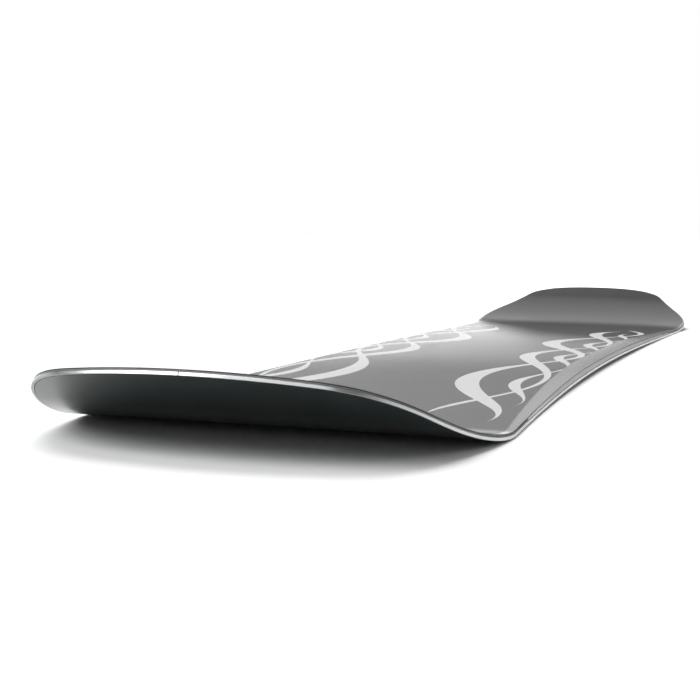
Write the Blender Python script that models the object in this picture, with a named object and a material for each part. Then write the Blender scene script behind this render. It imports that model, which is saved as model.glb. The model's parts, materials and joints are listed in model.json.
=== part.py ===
"""Snowboard, built up from the layers that are pressed together in its mould.

Metres, +Z up, +X towards the nose, +Y towards the board's left rail.
A place on the board is first given on the flat, unbent board, by its station
along the length, its distance in from the outline and its height above the
underside. The board is then bent to its camber and its two raised tips.
"""
import math
from collections import namedtuple

import bmesh
import bpy
from mathutils import Matrix, Vector

# Outline of the flat board. Stations run from the middle of the contact length.
CONTACT_HALF = 0.5617
NOSE_LENGTH = 0.2073
TAIL_LENGTH = 0.2243
NOSE_HALF_WIDTH = 0.1520
WAIST_HALF_WIDTH = 0.1321
TAIL_HALF_WIDTH = 0.1462
# Guide points of each tip's curve, as shares of its length and of its half width.
# A guide without a share of the width carries the sidecut's own direction on.
NOSE_GUIDE_SHARES = ((0.0, 1.0), (0.183, None), (0.884, 0.792), (1.0, 0.264), (1.0, 0.0))
TAIL_GUIDE_SHARES = ((0.0, 1.0), (0.052, None), (0.443, None), (0.789, 0.751), (0.919, 0.644),
                     (1.0, 0.322), (1.0, 0.0))
TIP_STEP = 0.015
TIP_TURN = math.radians(8)

# Bend of the board, seen from its side
CAMBER = 0.0030
NOSE_BEND_RADIUS = 0.372
NOSE_BEND_ANGLE = math.radians(21.4)
TAIL_BEND_RADIUS = 0.496
TAIL_BEND_ANGLE = math.radians(21.9)

# Layers, from the snow upwards, and the glue line between two of them
GLUE_LINE = 0.00025
BASE_THICKNESS = 0.0013
EDGE_WIDTH = 0.0020
FLANGE_THICKNESS = 0.00065
FLANGE_REACH = 0.0065
EDGE_JOINT = 0.0003
LAMINATE_THICKNESS = 0.00035
LAMINATE_INSET = 0.0004
LAMINATE_STEP = 0.0005
TOPSHEET_THICKNESS = 0.00045

# Thickness over the feet, its taper to the tips, and the rounded shoulder
BOARD_THICKNESS = 0.0100
TAPER_START = 0.120
TAPER_PAST_CONTACT = 0.096
SHOULDER_WIDTH = 0.0130
SHOULDER_DROP = 0.00265
# Where the shoulder's slope breaks, as shares of its width and of its drop
BREAK_SHARE_ACROSS = 0.45
BREAK_SHARE_DOWN = 0.38
# The topsheet's rim, and the narrow land beside it that keeps the shoulder open at the tips
RIM_INSET_MIDDLE = 0.0022
RIM_INSET_TIP = 0.0008
RIM_LAND = 0.0015

# Wood core and the plastic sidewalls beside it
CORE_PAST_CONTACT = 0.036
CENTRE_STRIP_WIDTH = 0.016
STRINGER_WIDTH = 0.024
SIDE_STRIPS = 4
OUTER_STRIP_POINTS = 4
SIDEWALL_SHORT_OF_CONTACT = 0.064

# Threaded inserts for the bindings
STANCE_HALF = 0.270
INSERT_SPACING = 0.040
INSERT_ROW_HALF = 0.020
INSERTS_PER_ROW = 4
PAD_MARGIN = 0.020
FLANGE_RADIUS = 0.0095
INSERT_FLANGE_THICKNESS = 0.0012
BARREL_RADIUS = 0.0045
THREAD_RADIUS = 0.0025
CAP_THICKNESS = 0.0003
DRILL_CLEARANCE = 0.0003
INSERT_RECESS = 0.0003

# Shading and spacing of the meshes
SMOOTH_BELOW = math.radians(35)
ROUND_STEPS = 12
STATION_MARGIN = 0.0015

# Heights that follow from the layers
BASE_TOP = BASE_THICKNESS
EDGE_HEIGHT = BASE_TOP + GLUE_LINE + FLANGE_THICKNESS
LAMINATE_LOW = BASE_TOP + GLUE_LINE
LAMINATE_HIGH = EDGE_HEIGHT + GLUE_LINE
CORE_BOTTOM = LAMINATE_LOW + LAMINATE_THICKNESS + GLUE_LINE
SIDEWALL_BOTTOM = LAMINATE_HIGH + LAMINATE_THICKNESS + GLUE_LINE
COVER_DEPTH = TOPSHEET_THICKNESS + GLUE_LINE + LAMINATE_THICKNESS
CORE_COVER = COVER_DEPTH + GLUE_LINE
TIP_THICKNESS = LAMINATE_HIGH + LAMINATE_THICKNESS + GLUE_LINE + COVER_DEPTH

# Distances in from the outline that follow from the steel edge's flange
STEP_START = FLANGE_REACH + GLUE_LINE
SIDEWALL_REACH = STEP_START + GLUE_LINE + LAMINATE_STEP
CORE_INSET = SIDEWALL_REACH + GLUE_LINE

# Stations that follow from the contact length and the stance
CORE_END = CONTACT_HALF + CORE_PAST_CONTACT
SIDEWALL_END = CONTACT_HALF - SIDEWALL_SHORT_OF_CONTACT
TAPER_END = CONTACT_HALF + TAPER_PAST_CONTACT
PAD_HALF = INSERT_SPACING * (INSERTS_PER_ROW - 1) / 2 + PAD_MARGIN
PAD_INNER = STANCE_HALF - PAD_HALF
PAD_OUTER = STANCE_HALF + PAD_HALF

Station = namedtuple("Station", "along half_width normal_along normal_across")


# Outline

def tip_curve(length, half_width, guides):
    """Smooth tip outline led by guide points, from the contact point to the tip's end."""
    flare = 2 * (half_width - WAIST_HALF_WIDTH) / CONTACT_HALF
    corners = []
    for along, across in guides:
        place = half_width + flare * along * length if across is None else across * half_width
        corners.append(Vector((along * length, place)))
    between = [(near + far) / 2 for near, far in zip(corners[1:-2], corners[2:-1])]
    joints = [corners[0], *between, corners[-1]]
    points = [joints[0]]
    for start, corner, end in zip(joints, corners[1:], joints[1:]):
        reach = (corner - start).length + (end - corner).length
        turn = (corner - start).angle(end - corner, 0.0)
        steps = math.ceil(max(reach / TIP_STEP, turn / TIP_TURN))
        for step in range(1, steps + 1):
            share = step / steps
            near = start.lerp(corner, share)
            far = corner.lerp(end, share)
            points.append(near.lerp(far, share))
    return points


def sidecut(along):
    """Half width of the board between its two widest places."""
    share = along / CONTACT_HALF
    widest = NOSE_HALF_WIDTH if along > 0 else TAIL_HALF_WIDTH
    return WAIST_HALF_WIDTH + (widest - WAIST_HALF_WIDTH) * share * share


def middle_stations():
    """Stations between the contact points, with one long flat under each binding."""
    spans = ((0.0, PAD_INNER, 2), (PAD_INNER, PAD_OUTER, 1),
             (PAD_OUTER, SIDEWALL_END, 3), (SIDEWALL_END, CONTACT_HALF, 2))
    half = [0.0]
    for start, end, count in spans:
        half += [start + (end - start) * (step + 1) / count for step in range(count)]
    return [-along for along in reversed(half[1:])] + half


def outline_stations():
    """Every station from the tail's end to the nose's end, with its outward normal."""
    nose = tip_curve(NOSE_LENGTH, NOSE_HALF_WIDTH, NOSE_GUIDE_SHARES)[1:]
    tail = tip_curve(TAIL_LENGTH, TAIL_HALF_WIDTH, TAIL_GUIDE_SHARES)[1:]
    points = [(-CONTACT_HALF - point.x, point.y) for point in reversed(tail)]
    points += [(along, sidecut(along)) for along in middle_stations()]
    points += [(CONTACT_HALF + point.x, point.y) for point in nose]
    stations = []
    for index, (along, half_width) in enumerate(points):
        normal = Vector((0.0, 1.0))
        if index == 0:
            normal = Vector((-1.0, 0.0))
        elif index == len(points) - 1:
            normal = Vector((1.0, 0.0))
        elif abs(along) > CONTACT_HALF:
            before, after = points[index - 1], points[index + 1]
            normal = Vector((before[1] - after[1], after[0] - before[0])).normalized()
        stations.append(Station(along, half_width, normal.x, normal.y))
    return stations


STATIONS = outline_stations()


def half_width_at(along):
    """Half width at any station, read between the outline's own stations."""
    for start, end in zip(STATIONS, STATIONS[1:]):
        if start.along <= along <= end.along:
            share = (along - start.along) / (end.along - start.along)
            return start.half_width + (end.half_width - start.half_width) * share
    return 0.0


def cross_station(along):
    """A station straight across the board, for a piece that ends there."""
    return Station(along, half_width_at(along), 0.0, 1.0)


def stations_between(start, end):
    """The outline's stations inside a stretch, closed by one at each end."""
    first, last = start + STATION_MARGIN, end - STATION_MARGIN
    inside = [station.along for station in STATIONS if first < station.along < last]
    return [cross_station(along) for along in (start, *inside, end)]


# Bend and thickness

def bent_line(along):
    """Place and slope of the board's underside at one station."""
    if abs(along) <= CONTACT_HALF:
        share = along / CONTACT_HALF
        rise = CAMBER * (1 - share * share) ** 2
        slope = -4 * CAMBER * share * (1 - share * share) / CONTACT_HALF
        return along, rise, math.atan(slope)
    side = math.copysign(1.0, along)
    radius = NOSE_BEND_RADIUS if along > 0 else TAIL_BEND_RADIUS
    full_angle = NOSE_BEND_ANGLE if along > 0 else TAIL_BEND_ANGLE
    past = abs(along) - CONTACT_HALF
    angle = min(past / radius, full_angle)
    straight = past - radius * angle
    reach = CONTACT_HALF + radius * math.sin(angle) + straight * math.cos(angle)
    rise = radius * (1 - math.cos(angle)) + straight * math.sin(angle)
    return side * reach, rise, side * angle


# The model's origin is below the middle of its overall length
MIDDLE_X = (bent_line(STATIONS[0].along)[0] + bent_line(STATIONS[-1].along)[0]) / 2


def bent(along, across, height):
    """World place of a point of the flat board."""
    x, z, angle = bent_line(along)
    return Vector((x - height * math.sin(angle) - MIDDLE_X, across, z + height * math.cos(angle)))


def fullness(along):
    """1 where the core is thickest, falling smoothly to 0 in the tips."""
    share = (abs(along) - TAPER_START) / (TAPER_END - TAPER_START)
    share = min(max(share, 0.0), 1.0)
    return 1 - share * share * (3 - 2 * share)


def top_height(along):
    """Height of the topsheet's flat middle."""
    return TIP_THICKNESS + (BOARD_THICKNESS - TIP_THICKNESS) * fullness(along)


def shoulder_line(along):
    """Insets and heights of the topsheet's rim, shoulder break and crease."""
    full = fullness(along)
    rim = RIM_INSET_TIP + (RIM_INSET_MIDDLE - RIM_INSET_TIP) * math.sqrt(full)
    width = RIM_LAND + SHOULDER_WIDTH * math.sqrt(full)
    drop = SHOULDER_DROP * full
    top = top_height(along)
    return [(rim, top - drop),
            (rim + width * BREAK_SHARE_ACROSS, top - drop * BREAK_SHARE_DOWN),
            (rim + width, top)]


def shoulder_height(along, inset):
    """Height of the topsheet at any distance in from the outline."""
    line = shoulder_line(along)
    for (near, low), (far, high) in zip(line, line[1:]):
        if inset < far:
            return low + (high - low) * (max(inset, near) - near) / (far - near)
    return line[-1][1]


# Mesh building

def finish_object(name, mesh_data, finish):
    """Turn built mesh data into a named object with its finish."""
    bmesh.ops.recalc_face_normals(mesh_data, faces=mesh_data.faces)
    mesh = bpy.data.meshes.new(name)
    mesh_data.to_mesh(mesh)
    mesh_data.free()
    mesh.shade_smooth()
    mesh.set_sharp_from_angle(angle=SMOOTH_BELOW)
    if finish:
        mesh.materials.append(finish)
    piece = bpy.data.objects.new(name, mesh)
    bpy.context.scene.collection.objects.link(piece)
    return piece


def join_loops(mesh_data, near, far):
    """Faces between two closed loops. Where the loops share corners, the faces are triangles."""
    for index in range(len(near)):
        after = (index + 1) % len(near)
        corners = dict.fromkeys([near[index], near[after], far[after], far[index]])
        if len(corners) > 2:
            mesh_data.faces.new(list(corners))


def skin(name, finish, loops):
    """A closed piece through loops of points that follow each other along the board."""
    mesh_data = bmesh.new()
    rows = []
    for loop in loops:
        made = {}
        row = []
        for point in loop:
            key = tuple(round(value, 7) for value in point)
            if key not in made:
                made[key] = mesh_data.verts.new(point)
            row.append(made[key])
        rows.append(row)
    for near, far in zip(rows, rows[1:]):
        join_loops(mesh_data, near, far)
    for row in (rows[0], rows[-1]):
        if len(set(row)) == len(row):
            mesh_data.faces.new(row)
    return finish_object(name, mesh_data, finish)


def section_points(station, side, line):
    """World places of a line of insets and heights on one side of the board."""
    points = []
    for inset, height in line:
        along = station.along - inset * station.normal_along
        across = max(station.half_width - inset * station.normal_across, 0.0)
        points.append(bent(along, side * across, height))
    return points


def full_layer(name, finish, stations, lower, upper):
    """A layer that runs from rail to rail, between a lower and an upper surface."""
    loops = []
    for station in stations:
        top, bottom = upper(station), lower(station)
        loop = section_points(station, 1, top)
        loop += reversed(section_points(station, -1, top))
        loop += section_points(station, -1, bottom)
        loop += reversed(section_points(station, 1, bottom))
        loops.append(loop)
    return skin(name, finish, loops)


def principled(name, colour, roughness, metallic=0.0, coat=0.0):
    """One plain finish."""
    finish = bpy.data.materials.new(name)
    finish.use_nodes = True
    shader = finish.node_tree.nodes["Principled BSDF"]
    shader.inputs["Base Color"].default_value = (*colour, 1.0)
    shader.inputs["Roughness"].default_value = roughness
    shader.inputs["Metallic"].default_value = metallic
    shader.inputs["Coat Weight"].default_value = coat
    finish.diffuse_color = (*colour, 1.0)
    return finish


# Pieces

def make_base_sheet():
    """Running base, let in between the steel edges."""
    inset = EDGE_WIDTH + GLUE_LINE
    finish = principled("base_black", (0.006, 0.010, 0.010), 0.12)
    return full_layer("base_sheet", finish, STATIONS,
                      lambda station: [(inset, 0.0)], lambda station: [(inset, BASE_TOP)])


def make_steel_edge(name, side, finish):
    """Steel edge of one rail, with the flange that is held between base and laminate."""
    profile = [(0.0, 0.0), (EDGE_WIDTH, 0.0), (EDGE_WIDTH, LAMINATE_LOW),
               (FLANGE_REACH, LAMINATE_LOW), (FLANGE_REACH, EDGE_HEIGHT), (0.0, EDGE_HEIGHT)]
    loops = []
    for station in STATIONS:
        if station.half_width < EDGE_JOINT:
            station = station._replace(half_width=EDGE_JOINT / 2)
        loops.append(section_points(station, side, profile))
    return skin(name, finish, loops)


def make_lower_laminate(finish):
    """Glass laminate over the base, stepped up at its border to clear the flanges."""
    def lower(station):
        return [(LAMINATE_INSET, LAMINATE_HIGH), (STEP_START, LAMINATE_HIGH),
                (STEP_START + LAMINATE_STEP, LAMINATE_LOW)]

    def upper(station):
        rise = LAMINATE_THICKNESS
        return [(LAMINATE_INSET, LAMINATE_HIGH + rise), (STEP_START + GLUE_LINE, LAMINATE_HIGH + rise),
                (SIDEWALL_REACH, LAMINATE_LOW + rise)]

    return full_layer("lower_laminate", finish, STATIONS, lower, upper)


def cover_layer(name, finish, depth, thickness):
    """A layer that follows the rounded top, at a depth below it."""
    def sunk(station, amount):
        return [(inset, height - amount) for inset, height in shoulder_line(station.along)]

    return full_layer(name, finish, STATIONS,
                      lambda station: sunk(station, depth + thickness),
                      lambda station: sunk(station, depth))


def make_sidewall(name, side, finish):
    """Slanted plastic sidewall between the steel edge and the rim of the topsheet."""
    loops = []
    for station in stations_between(-SIDEWALL_END, SIDEWALL_END):
        along = station.along
        rim = shoulder_line(along)[0][0]
        profile = [(LAMINATE_INSET, SIDEWALL_BOTTOM), (SIDEWALL_REACH, SIDEWALL_BOTTOM),
                   (SIDEWALL_REACH, shoulder_height(along, SIDEWALL_REACH) - CORE_COVER),
                   (rim, shoulder_height(along, rim) - CORE_COVER)]
        loops.append(section_points(station, side, profile))
    return skin(name, finish, loops)


def make_core_strip(name, finish, inner, outer, side):
    """One lengthwise wood strip. Without an outer place it runs out to the sidewall."""
    loops = []
    for station in stations_between(-CORE_END, CORE_END):
        edge = station.half_width - CORE_INSET
        end = outer if outer is not None else edge
        count = 2 if outer is not None else OUTER_STRIP_POINTS
        places = [inner + (end - inner) * index / (count - 1) for index in range(count)]
        loop = [bent(station.along, side * inner, CORE_BOTTOM),
                bent(station.along, side * end, CORE_BOTTOM)]
        for across in reversed(places):
            height = shoulder_height(station.along, station.half_width - across) - CORE_COVER
            loop.append(bent(station.along, side * across, height))
        loops.append(loop)
    return skin(name, finish, loops)


def make_core(parent):
    """The centre strip, the two stringers that hold the inserts, and the side strips."""
    light = principled("poplar", (0.62, 0.45, 0.27), 0.6)
    dark = principled("beech", (0.50, 0.30, 0.16), 0.55)
    half_glue = GLUE_LINE / 2
    centre_edge = CENTRE_STRIP_WIDTH / 2
    stringer_edge = centre_edge + STRINGER_WIDTH
    strip_width = (WAIST_HALF_WIDTH - CORE_INSET - stringer_edge) / SIDE_STRIPS
    strips = [make_core_strip("core_centre", light, half_glue - centre_edge,
                              centre_edge - half_glue, 1)]
    stringers = []
    for side, word in ((1, "left"), (-1, "right")):
        stringers.append(make_core_strip(f"core_stringer_{word}", dark, centre_edge + half_glue,
                                         stringer_edge - half_glue, side))
        for number in range(SIDE_STRIPS):
            inner = stringer_edge + strip_width * number + half_glue
            last = number == SIDE_STRIPS - 1
            outer = None if last else inner + strip_width - GLUE_LINE
            strips.append(make_core_strip(f"core_strip_{word}_{number + 1}", light, inner, outer, side))
    for strip in strips + stringers:
        strip.parent = parent
    return stringers


def make_tip_spacer(name, end_sign, finish):
    """Thin filler that carries on from the core's end into one tip."""
    start = CORE_END + GLUE_LINE
    stations = [cross_station(end_sign * start)]
    for station in STATIONS:
        inset_along = station.along - CORE_INSET * station.normal_along
        if end_sign * inset_along > start + STATION_MARGIN:
            stations.append(station)
    if end_sign < 0:
        stations = [*stations[1:], stations[0]]
    return full_layer(name, finish, stations,
                      lambda station: [(CORE_INSET, CORE_BOTTOM)],
                      lambda station: [(CORE_INSET, top_height(station.along) - CORE_COVER)])


# Inserts

def pad_span(end_sign):
    """The two stations that bound the long flat under one binding."""
    return end_sign * PAD_INNER, end_sign * PAD_OUTER


def insert_frame(end_sign, along, across):
    """Frame of one insert, standing square on the core's underside, and its room above."""
    start, end = pad_span(end_sign)
    share = (along - start) / (end - start)
    near, far = bent(start, across, CORE_BOTTOM), bent(end, across, CORE_BOTTOM)
    forward = (far - near).normalized() * end_sign
    upward = forward.cross(Vector((0.0, 1.0, 0.0)))
    foot = near.lerp(far, share)
    top_near, top_far = bent(start, across, top_height(start)), bent(end, across, top_height(end))
    top_normal = (top_far - top_near).cross(Vector((0.0, 1.0, 0.0)))
    room = (top_near - foot).dot(top_normal) / upward.dot(top_normal)
    turn = Matrix((forward, Vector((0.0, 1.0, 0.0)), upward)).transposed().to_4x4()
    return Matrix.Translation(foot) @ turn, room


def turned(mesh_data, profile, frame):
    """Turn a closed profile of radius and height round the frame's own Z axis."""
    rings = []
    for radius, height in profile:
        if radius == 0.0:
            centre = mesh_data.verts.new(frame @ Vector((0.0, 0.0, height)))
            rings.append([centre] * ROUND_STEPS)
            continue
        ring = []
        for step in range(ROUND_STEPS):
            turn = math.tau * step / ROUND_STEPS
            place = Vector((radius * math.cos(turn), radius * math.sin(turn), height))
            ring.append(mesh_data.verts.new(frame @ place))
        rings.append(ring)
    for near, far in zip(rings, [*rings[1:], rings[0]]):
        join_loops(mesh_data, near, far)


def turned_object(name, finish, profile, frame):
    """One turned piece, placed by its own matrix."""
    mesh_data = bmesh.new()
    turned(mesh_data, profile, Matrix.Identity(4))
    piece = finish_object(name, mesh_data, finish)
    piece.matrix_world = frame
    return piece


def insert_places():
    """Name, frame and room of every insert, front foot first."""
    places = []
    for end_sign, foot in ((1, "front"), (-1, "rear")):
        number = 0
        for index in range(INSERTS_PER_ROW):
            offset = (index - (INSERTS_PER_ROW - 1) / 2) * INSERT_SPACING
            for across in (INSERT_ROW_HALF, -INSERT_ROW_HALF):
                number += 1
                along = end_sign * (STANCE_HALF + offset)
                frame, room = insert_frame(end_sign, along, across)
                places.append((f"{foot}_{number}", frame, room))
    return places


def make_inserts(parent, targets):
    """Threaded inserts, the caps that seal them below, and the bores that take them."""
    steel = principled("insert_steel", (0.55, 0.55, 0.54), 0.3, metallic=1.0)
    black = principled("cap_black", (0.02, 0.02, 0.02), 0.5)
    flange_low = CAP_THICKNESS + GLUE_LINE
    flange_high = flange_low + INSERT_FLANGE_THICKNESS
    bores = bmesh.new()
    for label, frame, room in insert_places():
        barrel_top = room - INSERT_RECESS
        profile = [(THREAD_RADIUS, flange_low), (FLANGE_RADIUS, flange_low),
                   (FLANGE_RADIUS, flange_high), (BARREL_RADIUS, flange_high),
                   (BARREL_RADIUS, barrel_top), (THREAD_RADIUS, barrel_top)]
        turned_object(f"insert_{label}", steel, profile, frame).parent = parent
        cap = [(0.0, 0.0), (FLANGE_RADIUS, 0.0), (FLANGE_RADIUS, CAP_THICKNESS),
               (0.0, CAP_THICKNESS)]
        turned_object(f"insert_cap_{label}", black, cap, frame).parent = parent
        wide, narrow = FLANGE_RADIUS + DRILL_CLEARANCE, BARREL_RADIUS + DRILL_CLEARANCE
        below, above = -GLUE_LINE / 2, room + DRILL_CLEARANCE
        step = flange_high + GLUE_LINE
        bore = [(0.0, below), (wide, below), (wide, step), (narrow, step), (narrow, above),
                (0.0, above)]
        turned(bores, bore, frame)
    cutter = finish_object("insert_bores", bores, None)
    cutter.hide_render = True
    cutter.display_type = "WIRE"
    for target in targets:
        cut = target.modifiers.new("insert_bores", "BOOLEAN")
        cut.operation = "DIFFERENCE"
        cut.solver = "EXACT"
        cut.object = cutter


def main():
    """Clear the scene and build every piece of the board."""
    for leftover in list(bpy.data.objects):
        bpy.data.objects.remove(leftover, do_unlink=True)
    board = bpy.data.objects.new("snowboard", None)
    bpy.context.scene.collection.objects.link(board)

    glass = principled("glass_laminate", (0.200, 0.205, 0.200), 0.35)
    edge_steel = principled("edge_steel", (0.66, 0.67, 0.68), 0.26, metallic=1.0)
    wall_plastic = principled("sidewall_grey", (0.32, 0.322, 0.326), 0.4)
    spacer_plastic = principled("spacer_black", (0.045, 0.045, 0.045), 0.5)
    top_finish = principled("topsheet_grey", (0.050, 0.0505, 0.052), 0.3, coat=0.5)

    pieces = [make_base_sheet(),
              make_steel_edge("steel_edge_left", 1, edge_steel),
              make_steel_edge("steel_edge_right", -1, edge_steel),
              make_lower_laminate(glass),
              make_sidewall("sidewall_left", 1, wall_plastic),
              make_sidewall("sidewall_right", -1, wall_plastic),
              make_tip_spacer("nose_spacer", 1, spacer_plastic),
              make_tip_spacer("tail_spacer", -1, spacer_plastic)]
    upper_laminate = cover_layer("upper_laminate", glass, TOPSHEET_THICKNESS + GLUE_LINE,
                                 LAMINATE_THICKNESS)
    topsheet = cover_layer("topsheet", top_finish, 0.0, TOPSHEET_THICKNESS)
    for piece in [*pieces, upper_laminate, topsheet]:
        piece.parent = board
    stringers = make_core(board)
    make_inserts(board, [topsheet, upper_laminate, *stringers])


main()
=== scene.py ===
"""Looks of the snowboard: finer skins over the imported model, finishes, print, light and camera.

Metres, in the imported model's frame: +X towards the nose, +Y towards the left rail, +Z up.
Each layer is drawn flat along one rail, closed across the board, and then given its real
heights and bent to the camber and the two raised tips.
"""

import json
import math
from collections import namedtuple

import bpy
from mathutils import Matrix, Vector


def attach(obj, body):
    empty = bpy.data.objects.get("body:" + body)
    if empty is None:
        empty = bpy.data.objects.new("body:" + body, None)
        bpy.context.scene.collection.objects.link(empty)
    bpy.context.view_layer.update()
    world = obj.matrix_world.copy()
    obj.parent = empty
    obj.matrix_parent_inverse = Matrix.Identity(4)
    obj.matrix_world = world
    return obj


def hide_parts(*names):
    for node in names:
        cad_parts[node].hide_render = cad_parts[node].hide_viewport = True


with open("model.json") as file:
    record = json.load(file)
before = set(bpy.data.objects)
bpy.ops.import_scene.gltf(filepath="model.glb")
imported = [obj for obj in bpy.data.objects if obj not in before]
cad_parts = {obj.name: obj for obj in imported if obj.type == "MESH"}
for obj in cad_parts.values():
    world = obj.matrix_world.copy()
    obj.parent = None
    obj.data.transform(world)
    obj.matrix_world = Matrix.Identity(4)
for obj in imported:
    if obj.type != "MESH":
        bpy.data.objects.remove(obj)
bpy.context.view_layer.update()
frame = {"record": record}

# Outline of the flat board, with each tip's guide points as shares of length and half width
CONTACT_HALF = 0.5617
NOSE_LENGTH = 0.2073
TAIL_LENGTH = 0.2243
NOSE_HALF_WIDTH = 0.1520
WAIST_HALF_WIDTH = 0.1321
TAIL_HALF_WIDTH = 0.1462
NOSE_GUIDES = ((0.0, 1.0), (0.183, None), (0.884, 0.792), (1.0, 0.264), (1.0, 0.0))
TAIL_GUIDES = ((0.0, 1.0), (0.052, None), (0.443, None), (0.789, 0.751), (0.919, 0.644),
               (1.0, 0.322), (1.0, 0.0))
OUTLINE_STEPS = 24

# While a layer is flat, the lines of its section lie this far apart in height
LEVEL = 0.001

# Bend and thickness of the board
CAMBER = 0.0030
NOSE_BEND = (0.372, math.radians(21.4))
TAIL_BEND = (0.496, math.radians(21.9))
MIDDLE_X = -0.008916
TAPER_START = 0.120
TAPER_END = 0.6577
TIP_THICKNESS = 0.0041
MIDDLE_GAIN = 0.0059
SHOULDER_DROP = 0.00265

# Layers
BASE_TOP = 0.0013
EDGE_WIDTH = 0.0020
BASE_INSET = 0.00225
FLANGE_REACH = 0.0065
EDGE_HEIGHT = 0.0022
EDGE_JOINT = 0.0003
GLUE_GAP = 0.00025
LAMINATE_LOW = 0.00155
LAMINATE_HIGH = 0.00245
LAMINATE_THICKNESS = 0.00035
LAMINATE_INSET = 0.0004
STEP_RUN = 0.0005
TOPSHEET_THICKNESS = 0.00045
COVER_DEPTH = 0.00105
COVER_LAND = 0.0020
SIDEWALL_BOTTOM = 0.00305
SIDEWALL_REACH = 0.0075
SIDEWALL_END = 0.4977
CORE_BOTTOM = 0.00215

# Shares of the shoulder's drop at its break and at the sidewall's inner corner, and shares
# of the shoulder's two slopes that round its break and its crease
BREAK_DROP = 0.38
WALL_DROP = 0.42
BREAK_ROUND = 0.12
CREASE_ROUND = 0.14

# Binding inserts
STANCE_HALF = 0.270
INSERT_SPACING = 0.040
INSERT_ROW_HALF = 0.020
INSERTS_PER_ROW = 4
BORE_RADIUS = 0.0048
INSERT_RECESS = 0.0003
PLUG_RADIUS = 0.00476
PLUG_THICKNESS = 0.00025
TURN_STEPS = 40

# Insert pattern, with heights from the core's underside. Above the barrel's foot its points
# move with the barrel's top.
FLANGE_RADIUS = 0.0095
FLANGE_LOW = 0.00055
FLANGE_HIGH = 0.00175
BARREL_RADIUS = 0.0045
BARREL_FOOT = 0.0021
LONGEST_BARREL = 0.00745
FOOT_BORE = 0.0028
CREST_RADIUS = 0.0025
ROOT_RADIUS = 0.00295
THREAD_TURNS = 3
THREAD_PITCH = 0.001

# Nearer to the middle than this, a layer's points keep their place across the board
HOLES_WITHIN = 0.040

# Finest corners
STEEL_BEVEL = 0.00026
WALL_BEVEL = 0.00014
SHEET_BEVEL = 0.00012
BEVEL_ABOVE = math.radians(40)
BEVEL_SEGMENTS = 2
SMOOTH_BELOW = math.radians(32)

# How near to the middle line a point of half a layer is set on it, counts as on it, and merges
SNAP_WITHIN = 0.00012
ON_MIDDLE = 1e-6
MERGE_WITHIN = 1e-5

# One line of a layer's section: its distance in from the outline at the tips, how much
# further in it lies where the board is full, and its height at the tips and the gain there
Ring = namedtuple("Ring", "inset spread height gain")


# Shaping tools

def only(piece):
    """Deselect everything, then select one piece and make it active."""
    bpy.ops.object.select_all(action="DESELECT")
    piece.select_set(True)
    bpy.context.view_layer.objects.active = piece


def apply_modifier(piece, kind, **settings):
    """Add a modifier with its settings and apply it at once."""
    only(piece)
    modifier = piece.modifiers.new(kind.lower(), kind)
    for name, value in settings.items():
        setattr(modifier, name, value)
    bpy.ops.object.modifier_apply(modifier=modifier.name)


def pick_edges(piece, wanted):
    """In edit mode, select the edges whose two ends both pass a test of their place."""
    bpy.ops.mesh.select_mode(type="EDGE")
    bpy.ops.mesh.select_all(action="DESELECT")
    bpy.ops.object.mode_set(mode="OBJECT")
    verts = piece.data.vertices
    for edge in piece.data.edges:
        ends = [verts[index].co for index in edge.vertices]
        edge.select = wanted(*ends)
    bpy.ops.object.mode_set(mode="EDIT")


def on_level(index, *places):
    """Whether all the places lie on one line of a flat section."""
    return all(abs(place.z - index * LEVEL) < LEVEL / 2 for place in places)


def face_outwards():
    """Turn all faces of the piece in edit mode outwards, and leave edit mode."""
    bpy.ops.mesh.select_all(action="SELECT")
    bpy.ops.mesh.normals_make_consistent(inside=False)
    bpy.ops.object.mode_set(mode="OBJECT")


def between(near, far, share):
    """The line of a section at a share of the way from one line to another."""
    return Ring(*(low + (high - low) * share for low, high in zip(near, far)))


# Outline and bend

def tip_guides(length, half_width, guides):
    """Places of one tip's guide points on the flat board, from the contact point outwards."""
    flare = 2 * (half_width - WAIST_HALF_WIDTH) / CONTACT_HALF
    places = []
    for along, across in guides:
        width = half_width + flare * along * length if across is None else across * half_width
        places.append(Vector((CONTACT_HALF + along * length, width, 0.0)))
    return places


def outline_spans():
    """The outline's curve spans from tail to nose, each with its start, corner and end."""
    sides = []
    for length, widest, guides in ((TAIL_LENGTH, TAIL_HALF_WIDTH, TAIL_GUIDES),
                                   (NOSE_LENGTH, NOSE_HALF_WIDTH, NOSE_GUIDES)):
        places = tip_guides(length, widest, guides)
        corners = [Vector((CONTACT_HALF / 2, WAIST_HALF_WIDTH, 0.0)), *places[1:-1]]
        joints = [Vector((0.0, WAIST_HALF_WIDTH, 0.0)), places[0]]
        joints += [(near + far) / 2 for near, far in zip(places[1:-2], places[2:-1])]
        joints.append(places[-1])
        sides.append(list(zip(joints, corners, joints[1:])))
    tail, nose = sides
    flipped = []
    for span in reversed(tail):
        flipped.append([Vector((-place.x, place.y, place.z)) for place in reversed(span)])
    return flipped + nose


def recess(along):
    """How full the board is at a place along it, from 0 at the tips to 1."""
    share = (abs(along) - TAPER_START) / (TAPER_END - TAPER_START)
    share = min(max(share, 0.0), 1.0)
    return 1 - share * share * (3 - 2 * share)


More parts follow.
